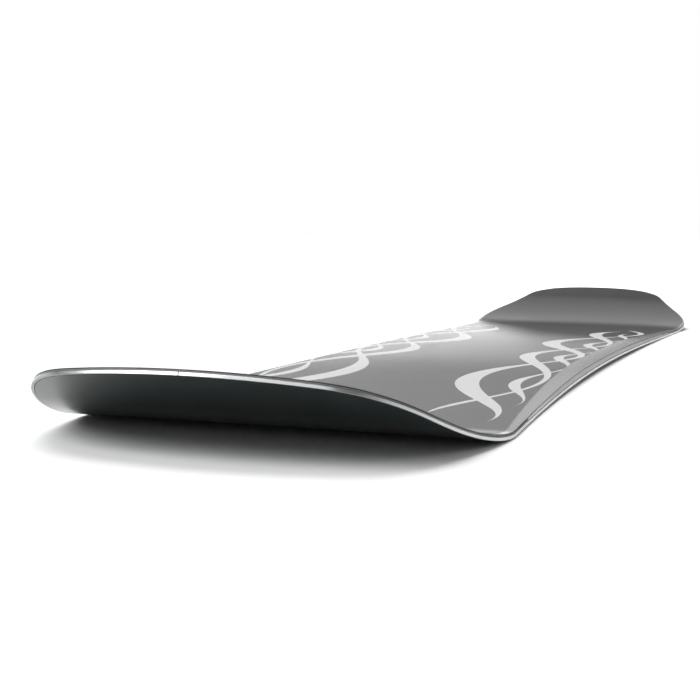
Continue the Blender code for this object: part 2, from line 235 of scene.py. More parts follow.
def bent(along, across, height):
    """Place on the bent board of a point of the flat one."""
    if abs(along) <= CONTACT_HALF:
        share = along / CONTACT_HALF
        x, z = along, CAMBER * (1 - share * share) ** 2
        angle = math.atan(-4 * CAMBER * share * (1 - share * share) / CONTACT_HALF)
    else:
        side = math.copysign(1.0, along)
        radius, full_angle = NOSE_BEND if along > 0 else TAIL_BEND
        past = abs(along) - CONTACT_HALF
        turn = min(past / radius, full_angle)
        straight = past - radius * turn
        x = side * (CONTACT_HALF + radius * math.sin(turn) + straight * math.cos(turn))
        z = radius * (1 - math.cos(turn)) + straight * math.sin(turn)
        angle = side * turn
    return Vector((x - height * math.sin(angle) - MIDDLE_X, across, z + height * math.cos(angle)))


# Layers and bars

def draw_rail(name):
    """The left half of the outline as a flat line of edges, from tail to nose."""
    spans = outline_spans()
    bpy.ops.object.select_all(action="DESELECT")
    bpy.ops.curve.primitive_bezier_curve_add()
    rail = bpy.context.object
    rail.name = name
    rail.data.resolution_u = OUTLINE_STEPS
    points = rail.data.splines[0].bezier_points
    points.add(len(spans) - 1)
    for point in points:
        point.handle_left_type = point.handle_right_type = "FREE"
    for index, (start, corner, end) in enumerate(spans):
        points[index].co = start
        points[index].handle_right = start.lerp(corner, 2 / 3)
        points[index + 1].co = end
        points[index + 1].handle_left = end.lerp(corner, 2 / 3)
    points[0].handle_left = points[0].co
    points[-1].handle_right = points[-1].co
    bpy.ops.object.convert(target="MESH")
    return bpy.context.object


def draw_section(name, rings):
    """Draw the rail's line up and inwards, one level up for each line of the section."""
    strip = draw_rail(name)
    only(strip)
    bpy.ops.object.mode_set(mode="EDIT")
    bpy.ops.mesh.select_all(action="SELECT")
    bpy.ops.mesh.extrude_region_move(TRANSFORM_OT_translate={"value": (0.0, 0.0, LEVEL)})
    bpy.ops.mesh.select_all(action="SELECT")
    bpy.ops.mesh.normals_make_consistent(inside=False)
    pick_edges(strip, lambda *ends: on_level(1, *ends))
    bpy.ops.transform.shrink_fatten(value=-rings[0].inset, use_even_offset=True)
    for last, ring in zip(rings, rings[1:]):
        bpy.ops.mesh.extrude_region_move(TRANSFORM_OT_translate={"value": (0.0, 0.0, LEVEL)})
        bpy.ops.transform.shrink_fatten(value=last.inset - ring.inset, use_even_offset=True)
    pick_edges(strip, lambda *ends: on_level(0, *ends))
    bpy.ops.mesh.select_mode(type="VERT")
    bpy.ops.mesh.delete(type="VERT")
    return strip


def keep_places(piece, unbent, inner):
    """Store on a piece its unbent places and each point's distance in from the crease."""
    keep = piece.data.attributes.new("unbent", "FLOAT_VECTOR", "POINT")
    keep.data.foreach_set("vector", unbent)
    keep = piece.data.attributes.new("inside_crease", "FLOAT", "POINT")
    keep.data.foreach_set("value", inner)
    piece.data.update()


def form(piece, rings):
    """Give each line of a flat piece its real width and height, and bend the piece.

    The piece keeps its unbent places, and how far each point lies in from the crease.
    """
    unbent, inner = [], []
    for vert in piece.data.vertices:
        ring = rings[round(vert.co.z / LEVEL) - 1]
        full = recess(vert.co.x)
        across = abs(vert.co.y)
        if across > HOLES_WITHIN:
            across -= ring.spread * math.sqrt(full)
        place = (vert.co.x, math.copysign(across, vert.co.y), ring.height + ring.gain * full)
        unbent += place
        inner.append(ring.inset - CREASE.inset + (ring.spread - CREASE.spread) * math.sqrt(full))
        vert.co = bent(*place)
    keep_places(piece, unbent, inner)


def finish_shape(piece, bevel):
    """Shade a piece smooth between its sharp corners, and round those a little."""
    only(piece)
    bpy.ops.object.shade_smooth_by_angle(angle=SMOOTH_BELOW)
    apply_modifier(piece, "BEVEL", width=bevel, segments=BEVEL_SEGMENTS, limit_method="ANGLE",
                   angle_limit=BEVEL_ABOVE, harden_normals=True)


def insert_stations():
    """Name and flat place of every insert, front foot first."""
    stations = []
    for side, foot in ((1, "front"), (-1, "rear")):
        for index in range(2 * INSERTS_PER_ROW):
            offset = (index // 2 - (INSERTS_PER_ROW - 1) / 2) * INSERT_SPACING
            across = INSERT_ROW_HALF if index % 2 == 0 else -INSERT_ROW_HALF
            stations.append((f"{foot}_{index + 1}", side * (STANCE_HALF + offset), across))
    return stations


def drill_bores(layer, levels):
    """Cut the sixteen round holes over the inserts through a flat layer."""
    bpy.ops.object.select_all(action="DESELECT")
    drills = []
    for _, along, across in insert_stations():
        bpy.ops.mesh.primitive_cylinder_add(vertices=TURN_STEPS, radius=BORE_RADIUS,
                                            depth=2 * levels * LEVEL,
                                            location=(along, across, levels * LEVEL / 2))
        drills.append(bpy.context.object)
    for drill in drills:
        drill.select_set(True)
    bpy.ops.object.join()
    drill = bpy.context.object
    apply_modifier(layer, "BOOLEAN", object=drill, operation="DIFFERENCE", solver="EXACT")
    bpy.data.objects.remove(drill)


def make_layer(name, rings, bevel, drilled=False):
    """A layer from rail to rail. Its section starts and ends at the lines it is closed from."""
    layer = draw_section(name, rings)
    bpy.ops.object.mode_set(mode="OBJECT")
    for vert in layer.data.vertices:
        if vert.co.y < SNAP_WITHIN:
            vert.co.y = 0.0
    apply_modifier(layer, "MIRROR", use_axis=(False, True, False), merge_threshold=MERGE_WITHIN)
    bpy.ops.object.mode_set(mode="EDIT")
    for index in (1, len(rings)):
        pick_edges(layer, lambda *ends: on_level(index, *ends)
                   and all(abs(place.y) > ON_MIDDLE for place in ends))
        bpy.ops.mesh.bridge_edge_loops()
    bpy.ops.mesh.select_all(action="SELECT")
    bpy.ops.mesh.fill_holes(sides=4)
    face_outwards()
    if drilled:
        drill_bores(layer, len(rings))
    form(layer, rings)
    finish_shape(layer, bevel)
    return layer


def make_bar(name, side, rings, ends, bevel):
    """A bar along one rail, closed round its section and cut off square at its ends."""
    bar = draw_section(name, rings)
    pick_edges(bar, lambda *ends: on_level(1, *ends) or on_level(len(rings), *ends))
    bpy.ops.mesh.bridge_edge_loops()
    for place, outward in ends:
        bpy.ops.mesh.select_all(action="SELECT")
        bpy.ops.mesh.bisect(plane_co=place, plane_no=outward, use_fill=True, clear_outer=True)
    if side < 0:
        bpy.ops.mesh.select_all(action="SELECT")
        bpy.ops.transform.mirror(constraint_axis=(False, True, False),
                                 center_override=(0.0, 0.0, 0.0))
    face_outwards()
    form(bar, rings)
    finish_shape(bar, bevel)
    return bar


# Sections. The topsheet's shoulder runs from its rim over a break to a crease.
RIM = Ring(0.0008, 0.0014, TIP_THICKNESS, MIDDLE_GAIN - SHOULDER_DROP)
BREAK = Ring(0.001475, 0.00725, TIP_THICKNESS, MIDDLE_GAIN - BREAK_DROP * SHOULDER_DROP)
CREASE = Ring(0.0023, 0.0144, TIP_THICKNESS, MIDDLE_GAIN)
LAND = CREASE._replace(inset=CREASE.inset + COVER_LAND)
COVER = [RIM, between(RIM, BREAK, 1 - BREAK_ROUND), between(BREAK, CREASE, BREAK_ROUND),
         between(BREAK, CREASE, 1 - CREASE_ROUND), LAND]


def cover_section(depth, thickness):
    """Section of a thin cover that follows the top of the board at a depth below it."""
    lower = [ring._replace(height=ring.height - depth - thickness) for ring in reversed(COVER)]
    upper = [ring._replace(height=ring.height - depth) for ring in COVER]
    return lower + upper


def level_ring(inset, height):
    """A line of a section at the same place and height all along the board."""
    return Ring(inset, 0.0, height, 0.0)


topsheet = make_layer("topsheet_printed", cover_section(0.0, TOPSHEET_THICKNESS), SHEET_BEVEL,
                      drilled=True)
upper_laminate = make_layer("laminate_under_topsheet",
                            cover_section(COVER_DEPTH - LAMINATE_THICKNESS, LAMINATE_THICKNESS),
                            SHEET_BEVEL, drilled=True)
base = make_layer("running_base", [level_ring(BASE_INSET, 0.0), level_ring(BASE_INSET, BASE_TOP)],
                  SHEET_BEVEL)
step_start = FLANGE_REACH + GLUE_GAP
lower_laminate = make_layer("laminate_over_base", [
    level_ring(step_start + STEP_RUN, LAMINATE_LOW),
    level_ring(step_start, LAMINATE_HIGH),
    level_ring(LAMINATE_INSET, LAMINATE_HIGH),
    level_ring(LAMINATE_INSET, LAMINATE_HIGH + LAMINATE_THICKNESS),
    level_ring(step_start + STEP_RUN / 2, LAMINATE_HIGH + LAMINATE_THICKNESS),
    level_ring(SIDEWALL_REACH, LAMINATE_LOW + LAMINATE_THICKNESS)], SHEET_BEVEL)

EDGE_SECTION = [level_ring(0.0, 0.0), level_ring(EDGE_WIDTH, 0.0),
                level_ring(EDGE_WIDTH, LAMINATE_LOW), level_ring(FLANGE_REACH, LAMINATE_LOW),
                level_ring(FLANGE_REACH, EDGE_HEIGHT), level_ring(0.0, EDGE_HEIGHT)]
EDGE_ENDS = [((0.0, EDGE_JOINT / 2, 0.0), (0.0, -1.0, 0.0))]
WALL_TOP = TIP_THICKNESS - COVER_DEPTH - GLUE_GAP
WALL_SECTION = [level_ring(LAMINATE_INSET, SIDEWALL_BOTTOM),
                level_ring(SIDEWALL_REACH, SIDEWALL_BOTTOM),
                Ring(SIDEWALL_REACH, 0.0, WALL_TOP, MIDDLE_GAIN - WALL_DROP * SHOULDER_DROP),
                RIM._replace(height=WALL_TOP)]
WALL_ENDS = [((SIDEWALL_END, 0.0, 0.0), (1.0, 0.0, 0.0)),
             ((-SIDEWALL_END, 0.0, 0.0), (-1.0, 0.0, 0.0))]
edges, walls = [], []
for side, word in ((1, "left"), (-1, "right")):
    edges.append(make_bar(f"edge_bar_{word}", side, EDGE_SECTION, EDGE_ENDS, STEEL_BEVEL))
    walls.append(make_bar(f"milled_wall_{word}", side, WALL_SECTION, WALL_ENDS, WALL_BEVEL))


# Threaded inserts

def turn_profile(name, profile):
    """A ring of metal: a closed profile of radius and height, turned round the Z axis."""
    bpy.ops.object.select_all(action="DESELECT")
    radius, height = profile[0]
    bpy.ops.mesh.primitive_circle_add(vertices=TURN_STEPS, radius=radius)
    piece = bpy.context.object
    piece.name = name
    bpy.ops.object.mode_set(mode="EDIT")
    bpy.ops.mesh.select_all(action="SELECT")
    bpy.ops.transform.translate(value=(0.0, 0.0, height))
    for (radius, height), (wider, higher) in zip(profile, profile[1:]):
        bpy.ops.mesh.extrude_region_move(
            TRANSFORM_OT_translate={"value": (0.0, 0.0, higher - height)})
        bpy.ops.transform.resize(value=(wider / radius, wider / radius, 1.0))
    bpy.ops.mesh.select_mode(type="EDGE")
    bpy.ops.mesh.select_all(action="DESELECT")
    bpy.ops.mesh.select_non_manifold(extend=False, use_wire=False, use_multi_face=False,
                                     use_non_contiguous=False, use_verts=False)
    bpy.ops.mesh.bridge_edge_loops()
    face_outwards()
    bpy.ops.object.shade_smooth_by_angle(angle=SMOOTH_BELOW)
    return piece


def insert_profile(top):
    """Radius and height round an insert: its flange, its barrel, and down its thread."""
    corner = 0.0002
    profile = [(FOOT_BORE, FLANGE_LOW), (FLANGE_RADIUS - corner, FLANGE_LOW),
               (FLANGE_RADIUS, FLANGE_LOW + corner / 2), (FLANGE_RADIUS, FLANGE_HIGH - corner / 2),
               (FLANGE_RADIUS - corner, FLANGE_HIGH), (BARREL_RADIUS + 0.0003, FLANGE_HIGH),
               (BARREL_RADIUS, FLANGE_HIGH + 0.00025), (BARREL_RADIUS, top - corner),
               (BARREL_RADIUS - corner, top), (0.0033, top), (0.0030, top - 0.0003)]
    for turn in range(THREAD_TURNS):
        low = top - 0.0006 - THREAD_PITCH * turn
        profile += [(CREST_RADIUS, low), (CREST_RADIUS, low - 0.0001),
                    (ROOT_RADIUS, low - 0.0005), (ROOT_RADIUS, low - 0.0006)]
    profile += [(FOOT_BORE, top - 0.0037)]
    return profile


def make_inserts():
    """Sixteen threaded inserts from one pattern, each with its barrel cut to the board."""
    pattern = turn_profile("insert_pattern", insert_profile(LONGEST_BARREL))
    made = []
    for label, along, across in insert_stations():
        top = TIP_THICKNESS + MIDDLE_GAIN * recess(along) - CORE_BOTTOM - INSERT_RECESS
        insert = pattern.copy()
        insert.data = pattern.data.copy()
        insert.name = f"threaded_insert_{label}"
        bpy.context.scene.collection.objects.link(insert)
        for vert in insert.data.vertices:
            lower = LONGEST_BARREL - top if vert.co.z > BARREL_FOOT else 0.0
            vert.co = bent(along + vert.co.x, across + vert.co.y,
                           CORE_BOTTOM + vert.co.z - lower)
        made.append((insert, f"insert_{label}"))
    bpy.data.objects.remove(pattern)
    return made


def make_plugs():
    """Flush plugs that close the sixteen holes over the inserts."""
    bpy.ops.object.select_all(action="DESELECT")
    bpy.ops.mesh.primitive_cylinder_add(vertices=TURN_STEPS, radius=PLUG_RADIUS,
                                        depth=PLUG_THICKNESS,
                                        location=(0.0, 0.0, -PLUG_THICKNESS / 2))
    pattern = bpy.context.object
    bpy.ops.object.transform_apply(location=True, rotation=False, scale=False)
    finish_shape(pattern, SHEET_BEVEL)
    made = []
    for label, along, across in insert_stations():
        plug = pattern.copy()
        plug.data = pattern.data.copy()
        plug.name = f"plug_{label}"
        bpy.context.scene.collection.objects.link(plug)
        unbent = []
        for vert in plug.data.vertices:
            x = along + vert.co.x
            place = (x, across + vert.co.y,
                     TIP_THICKNESS + MIDDLE_GAIN * recess(x) + vert.co.z)
            unbent += place
            vert.co = bent(*place)
        keep_places(plug, unbent, [WAIST_HALF_WIDTH] * len(plug.data.vertices))
        made.append(plug)
    bpy.data.objects.remove(pattern)
    return made


plugs = make_plugs()
inserts = make_inserts()


# Material tools

def add_node(tree, kind, values=None, **settings):
    """Add a shader node, set its fields, and give inputs a value or another node's output."""
    node = tree.nodes.new("ShaderNode" + kind)
    for name, value in settings.items():
        setattr(node, name, value)
    for name, value in (values or {}).items():
        if isinstance(value, bpy.types.NodeSocket):
            tree.links.new(value, node.inputs[name])
        else:
            node.inputs[name].default_value = value
    return node


def calc(tree, operation, *values, clamp=False):
    """Output of a Math node."""
    node = add_node(tree, "Math", dict(enumerate(values)), operation=operation, use_clamp=clamp)
    return node.outputs[0]


def blend(tree, share, low, high):
    """Colour between two colours."""
    node = add_node(tree, "Mix", {0: share, 6: low, 7: high}, data_type="RGBA")
    return node.outputs[2]


def remap(tree, value, low, high, new_low, new_high, smooth=False):
    """A value carried from one range into another and held inside it."""
    node = add_node(tree, "MapRange", {"Value": value, "From Min": low, "From Max": high,
                                       "To Min": new_low, "To Max": new_high},
                    interpolation_type="SMOOTHSTEP" if smooth else "LINEAR")
    return node.outputs["Result"]


def noise(tree, place, scale, detail=3.0, stretch=(1.0, 1.0, 1.0)):
    """Noise value over a place, with the place stretched first."""
    turned = add_node(tree, "Mapping", {"Vector": place, "Scale": stretch})
    node = add_node(tree, "TexNoise", {"Vector": turned.outputs[0], "Scale": scale,
                                       "Detail": detail, "Roughness": 0.55})
    return node.outputs["Fac"]


def new_group(name, inputs, outputs):
    """An empty node group with named inputs, their usual values, and named outputs."""
    group = bpy.data.node_groups.new(name, "ShaderNodeTree")
    for label, kind, usual in inputs:
        socket = group.interface.new_socket(label, in_out="INPUT", socket_type="NodeSocket" + kind)
        if usual is not None:
            socket.default_value = usual
    for label, kind in outputs:
        group.interface.new_socket(label, in_out="OUTPUT", socket_type="NodeSocket" + kind)
    entry = group.nodes.new("NodeGroupInput").outputs
    exit_node = group.nodes.new("NodeGroupOutput").inputs
    return group, entry, exit_node


def use_group(tree, group, **values):
    """Place a node group in a material and give its inputs their values."""
    node = add_node(tree, "Group", node_tree=group)
    for name, value in values.items():
        if isinstance(value, bpy.types.NodeSocket):
            tree.links.new(value, node.inputs[name])
        else:
            node.inputs[name].default_value = value
    return node.outputs


def new_finish(name, **plain):
    """A material with a Principled shader and its plain values."""
    finish = bpy.data.materials.new(name)
    finish.use_nodes = True
    shader = finish.node_tree.nodes["Principled BSDF"]
    for label, value in plain.items():
        shader.inputs[label.replace("_", " ")].default_value = value
    return finish, finish.node_tree, shader


def wire(tree, shader, height=None, strength=0.1, distance=0.0001, **links):
    """Link outputs to the shader's inputs, and a height through a bump to its normal."""
    for label, output in links.items():
        tree.links.new(output, shader.inputs[label.replace("_", " ")])
    if height is not None:
        bump = add_node(tree, "Bump", {"Height": height, "Strength": strength,
                                       "Distance": distance})
        tree.links.new(bump.outputs[0], shader.inputs["Normal"])


def unbent_place(tree):
    """The piece's places on the flat board."""
    return add_node(tree, "Attribute", attribute_name="unbent").outputs["Vector"]


def own_place(tree):
    """Places in the object's own coordinates."""
    return add_node(tree, "TexCoord").outputs["Object"]


# Shared effects

# The ribbon's widest place comes this far ahead of its crest in radians, is this sharp, and
# its thinnest place has this share of the full width
SWELL_LEAD = 0.9
SWELL_SHARPNESS = 1.4
THINNEST = 0.26

# Length of a ribbon's pointed ends, and of the soft border of the print
POINT_LENGTH = 0.09
PRINT_BORDER = 0.00025


def make_wave_ribbon():
    """A band of print that swings along the board and swells and thins as it goes."""
    group, entry, done = new_group(
        "wave_ribbon",
        [("Along", "Float", 0.0), ("Across", "Float", 0.0), ("Centre", "Float", 0.09),
         ("Swing", "Float", 0.02), ("Pitch", "Float", 0.3), ("Phase", "Float", 0.0),
         ("Width", "Float", 0.008), ("Start", "Float", -0.4), ("End", "Float", 0.4)],
        [("Mask", "Float")])
    turn = calc(group, "MULTIPLY_ADD", calc(group, "DIVIDE", entry["Along"], entry["Pitch"]),
                math.tau, entry["Phase"])
    line = calc(group, "MULTIPLY_ADD", calc(group, "SINE", turn), entry["Swing"], entry["Centre"])
    away = calc(group, "ABSOLUTE", calc(group, "SUBTRACT", entry["Across"], line))
    ahead = calc(group, "ADD", turn, SWELL_LEAD)
    swell = calc(group, "MULTIPLY_ADD", calc(group, "COSINE", ahead), 0.5, 0.5)
    swell = calc(group, "MULTIPLY_ADD", calc(group, "POWER", swell, SWELL_SHARPNESS),
                 1.0 - THINNEST, THINNEST)
    from_start = calc(group, "SUBTRACT", entry["Along"], entry["Start"])
    from_end = calc(group, "SUBTRACT", entry["End"], entry["Along"])
    point = calc(group, "MULTIPLY", remap(group, from_start, 0.0, POINT_LENGTH, 0.0, 1.0),
                 remap(group, from_end, 0.0, POINT_LENGTH, 0.0, 1.0))
    half = calc(group, "MULTIPLY", calc(group, "MULTIPLY", entry["Width"], swell), point)
    inside = calc(group, "SUBTRACT", half, away)
    group.links.new(remap(group, inside, 0.0, PRINT_BORDER, 0.0, 1.0), done["Mask"])
    return group


def make_fine_scuffs():
    """Faint handling marks: a soft cloud broken by hair-thin scratches."""
    group, entry, done = new_group(
        "fine_scuffs", [("Place", "Vector", None), ("Amount", "Float", 0.5)],
        [("Marks", "Float"), ("Cloud", "Float")])
    cloud = noise(group, entry["Place"], 9.0, 4.0)
    fine = noise(group, entry["Place"], 60.0, 2.0, (0.12, 1.0, 1.0))
    hair = remap(group, fine, 0.60, 0.66, 0.0, 1.0)
    where = remap(group, cloud, 0.50, 0.66, 0.0, 1.0, smooth=True)
    marks = calc(group, "MULTIPLY", calc(group, "MULTIPLY", hair, where), entry["Amount"])
    group.links.new(marks, done["Marks"])
    group.links.new(cloud, done["Cloud"])
    return group


def make_ground_steel():
    """Streaks of a ground or turned steel surface, along the direction of the work."""
    group, entry, done = new_group(
        "ground_steel", [("Place", "Vector", None), ("Fineness", "Float", 1.0),
                         ("Steel", "Color", (0.6, 0.6, 0.6, 1.0)), ("Roughness", "Float", 0.3)],
        [("Color", "Color"), ("Roughness", "Float"), ("Height", "Float")])
    placed = add_node(group, "VectorMath", {0: entry["Place"], "Scale": entry["Fineness"]},
                      operation="SCALE").outputs[0]
    streak = noise(group, placed, 9000.0, 2.0, (0.004, 0.004, 1.0))
    broad = noise(group, placed, 40.0, 3.0)
    dark_mix = calc(group, "MULTIPLY_ADD", streak, 0.5, calc(group, "MULTIPLY", broad, 0.5))
    darker = blend(group, 0.12, entry["Steel"], (0.10, 0.10, 0.10, 1.0))
    group.links.new(blend(group, remap(group, dark_mix, 0.35, 0.65, 0.0, 1.0), darker,
                          entry["Steel"]), done["Color"])
    group.links.new(calc(group, "ADD", entry["Roughness"],
                         remap(group, dark_mix, 0.3, 0.7, -0.07, 0.07)), done["Roughness"])
    group.links.new(streak, done["Height"])
    return group


def make_moulded_plastic():
    """Fine grain of machined or moulded plastic with slightly uneven colour."""
    group, entry, done = new_group(
        "plastic_grain", [("Place", "Vector", None), ("Shade", "Color", (0.1, 0.1, 0.1, 1.0)),
                          ("Pale", "Color", (0.15, 0.15, 0.15, 1.0)), ("Roughness", "Float", 0.4)],
        [("Color", "Color"), ("Roughness", "Float"), ("Height", "Float")])
    cloud = noise(group, entry["Place"], 25.0, 4.0)
    grain = noise(group, entry["Place"], 1400.0, 2.0, (0.05, 1.0, 1.0))
    mixed = calc(group, "MULTIPLY_ADD", grain, 0.35, calc(group, "MULTIPLY", cloud, 0.65))
    share = remap(group, mixed, 0.35, 0.65, 0.0, 1.0)
    group.links.new(blend(group, share, entry["Shade"], entry["Pale"]), done["Color"])
    group.links.new(calc(group, "ADD", entry["Roughness"],
                         remap(group, mixed, 0.3, 0.7, -0.08, 0.08)), done["Roughness"])
    group.links.new(grain, done["Height"])
    return group


def make_wood_grain():
    """Planed wood sawn lengthwise: wavy year rings, fine fibres and short pores."""
    group, entry, done = new_group(
        "wood_grain", [("Place", "Vector", None), ("Pale", "Color", (0.6, 0.45, 0.27, 1.0)),
                       ("Dark", "Color", (0.4, 0.25, 0.12, 1.0)), ("Rings", "Float", 160.0),
                       ("Pores", "Float", 0.3)],
        [("Color", "Color"), ("Roughness", "Float"), ("Height", "Float")])
    drift = noise(group, entry["Place"], 6.0, 2.0, (0.25, 1.0, 1.0))
    cut = add_node(group, "SeparateXYZ", {0: entry["Place"]}).outputs
    across = calc(group, "ADD", cut["Y"], calc(group, "MULTIPLY", cut["Z"], 0.6))
    shifted = calc(group, "MULTIPLY_ADD", drift, 0.030, across)
    rings = calc(group, "SINE", calc(group, "MULTIPLY", shifted,
                                     calc(group, "MULTIPLY", entry["Rings"], math.tau)))
    fibre = noise(group, entry["Place"], 900.0, 3.0, (0.02, 1.0, 1.0))
    pores = remap(group, noise(group, entry["Place"], 1600.0, 1.0, (0.04, 1.0, 1.0)),
                  0.62, 0.70, 0.0, 1.0)
    pores = calc(group, "MULTIPLY", pores, entry["Pores"])
    tone = calc(group, "MULTIPLY_ADD", rings, 0.25, calc(group, "MULTIPLY", fibre, 0.8))
    tone = calc(group, "SUBTRACT", tone, pores, clamp=True)
    group.links.new(blend(group, tone, entry["Dark"], entry["Pale"]), done["Color"])
    group.links.new(remap(group, fibre, 0.3, 0.7, 0.48, 0.62), done["Roughness"])
    group.links.new(calc(group, "SUBTRACT", fibre, pores), done["Height"])
    return group


wave_ribbon = make_wave_ribbon()
fine_scuffs = make_fine_scuffs()
ground_steel = make_ground_steel()
plastic_grain = make_moulded_plastic()
wood_grain = make_wood_grain()


# Finishes

# Centre, swing, pitch, phase, width, start and end of each printed ribbon, on the half board
RIBBONS = ((0.082, 0.030, 0.420, 0.4, 0.0105, -0.46, 0.53),
           (0.088, 0.026, 0.420, 3.5, 0.0080, -0.42, 0.50),
           (0.106, 0.012, 0.210, 1.9, 0.0052, -0.36, 0.44))
RIBBON_WHITE = (0.55, 0.55, 0.55, 1.0)

# The print follows the sidecut by this curve, and wanders along the board by this wave
SIDECUT_CURVE = 0.055
WANDER_PITCH = 11.0
WANDER = 0.018

# Coat on the shoulder outside the crease and on the flat inside it, and its share on the print
SHOULDER_COAT = 0.48
FLAT_COAT = 0.24
PRINT_COAT = 0.5

# Distances in from the crease over which the print starts and the coat changes
PRINT_STARTS = (-0.0002, 0.0)
COAT_CHANGES = (-0.0010, 0.0006)

# Height up the steel edge over which the painted shade on its underside, a darker colour that dims
# its reflection, gives way to the bright side
PAINTED_SHADE_UP_TO = 0.0002

# Pitch of the glass cloth's threads
WEAVE_PITCH = 0.0018


def make_topsheet_finish():
    """Glossy grey topsheet with pale wave ribbons, less glossy, printed along both rails."""
    finish, tree, shader = new_finish("topsheet_grey_printed", Coat_Weight=1.0,
                                      Coat_Roughness=0.18, Coat_IOR=1.45,
                                      Specular_IOR_Level=0.0)
    place = unbent_place(tree)
    cut = add_node(tree, "SeparateXYZ", {0: place}).outputs
    flare = calc(tree, "MULTIPLY", calc(tree, "MULTIPLY", cut["X"], cut["X"]), SIDECUT_CURVE)
    across = calc(tree, "SUBTRACT", calc(tree, "ABSOLUTE", cut["Y"]), flare)
    wave = calc(tree, "SINE", calc(tree, "MULTIPLY", cut["X"], WANDER_PITCH))
    along = calc(tree, "MULTIPLY_ADD", wave, WANDER, cut["X"])
    ribbons = 0.0
    for centre, swing, pitch, phase, width, start, end in RIBBONS:
        mask = use_group(tree, wave_ribbon, Along=along, Across=across, Centre=centre,
                         Swing=swing, Pitch=pitch, Phase=phase, Width=width, Start=start,
                         End=end)["Mask"]
        ribbons = calc(tree, "MAXIMUM", ribbons, mask)
    crease = add_node(tree, "Attribute", attribute_name="inside_crease").outputs["Fac"]
    inside = remap(tree, crease, *PRINT_STARTS, 0.0, 1.0)
    ribbons = calc(tree, "MULTIPLY", ribbons, inside)
    scuffs = use_group(tree, fine_scuffs, Place=place, Amount=0.5)
    grey = blend(tree, remap(tree, scuffs["Cloud"], 0.35, 0.65, 0.0, 1.0),
                 (0.049, 0.0495, 0.051, 1.0), (0.054, 0.0545, 0.056, 1.0))
    gloss = remap(tree, crease, *COAT_CHANGES, SHOULDER_COAT, FLAT_COAT)
    gloss = calc(tree, "MULTIPLY", gloss, remap(tree, ribbons, 0.0, 1.0, 1.0, PRINT_COAT))
    wire(tree, shader, Base_Color=blend(tree, ribbons, grey, RIBBON_WHITE),
         Roughness=calc(tree, "MULTIPLY_ADD", scuffs["Marks"], 0.25, 0.30),
         Coat_Weight=calc(tree, "MULTIPLY_ADD", scuffs["Marks"], -0.05, gloss),
         height=scuffs["Cloud"], strength=0.02, distance=0.0005)
    return finish


def make_base_finish():
    """Black running base with its fine lengthwise structure."""
    finish, tree, shader = new_finish("base_black_structured", Specular_IOR_Level=0.27)
    place = unbent_place(tree)
    scuffs = use_group(tree, fine_scuffs, Place=place, Amount=0.6)
    lines = noise(tree, place, 2200.0, 2.0, (0.003, 1.0, 0.0))
    shade = blend(tree, scuffs["Cloud"], (0.003, 0.010, 0.010, 1.0), (0.004, 0.014, 0.0135, 1.0))
    wire(tree, shader, Base_Color=blend(tree, scuffs["Marks"], shade, (0.03, 0.035, 0.035, 1.0)),
         Roughness=remap(tree, scuffs["Cloud"], 0.3, 0.7, 0.13, 0.18),
         height=lines, strength=0.10, distance=0.00002)
    return finish


def make_steel_finish(name, steel, roughness, place_of, fineness, dark_mix=None):
    """Ground steel edge or turned steel insert. A face at height zero can have a darker colour:
    painted shade that dims its reflection.
    """
    finish, tree, shader = new_finish(name, Metallic=1.0)
    place = place_of(tree)
    streaks = use_group(tree, ground_steel, Place=place, Fineness=fineness, Steel=steel,
                        Roughness=roughness)
    colour = streaks["Color"]
    # Painted shade: faces at height zero take the darker colour, which dims their reflection
    if dark_mix is not None:
        height = add_node(tree, "SeparateXYZ", {0: place}).outputs["Z"]
        colour = blend(tree, remap(tree, height, 0.0, PAINTED_SHADE_UP_TO, 0.0, 1.0), dark_mix, colour)
    wire(tree, shader, Base_Color=colour, Roughness=streaks["Roughness"],
         height=streaks["Height"], strength=0.15, distance=0.00002)
    return finish


def make_plastic_finish(name, shade, pale, roughness, place_of):
    """Machined or moulded plastic."""
    finish, tree, shader = new_finish(name, Specular_IOR_Level=0.5)
    grain = use_group(tree, plastic_grain, Place=place_of(tree), Shade=shade, Pale=pale,
                      Roughness=roughness)
    wire(tree, shader, Base_Color=grain["Color"], Roughness=grain["Roughness"],
         height=grain["Height"], strength=0.2, distance=0.00003)
    return finish


def make_laminate_finish():
    """Glass cloth in dark resin: a fine square weave under a smooth surface."""
    finish, tree, shader = new_finish("glass_laminate_woven", Specular_IOR_Level=0.5)
    cut = add_node(tree, "SeparateXYZ", {0: unbent_place(tree)}).outputs
    warp = calc(tree, "SINE", calc(tree, "MULTIPLY", cut["X"], math.tau / WEAVE_PITCH))
    weft = calc(tree, "SINE", calc(tree, "MULTIPLY", cut["Y"], math.tau / WEAVE_PITCH))
    weave = calc(tree, "MULTIPLY", warp, weft)
    share = remap(tree, weave, -1.0, 1.0, 0.0, 1.0)
    wire(tree, shader, Base_Color=blend(tree, share, (0.170, 0.175, 0.170, 1.0),
                                        (0.230, 0.235, 0.230, 1.0)),
         Roughness=remap(tree, weave, -1.0, 1.0, 0.30, 0.42), height=weave, strength=0.15,
         distance=0.00005)
    return finish


def make_wood_finish(name, pale, dark, rings, pores):
    """Planed wood of the core."""
    finish, tree, shader = new_finish(name, Specular_IOR_Level=0.35)
    grain = use_group(tree, wood_grain, Place=own_place(tree), Pale=pale, Dark=dark, Rings=rings,
                      Pores=pores)
    wire(tree, shader, Base_Color=grain["Color"], Roughness=grain["Roughness"],
         height=grain["Height"], strength=0.25, distance=0.0001)
    return finish


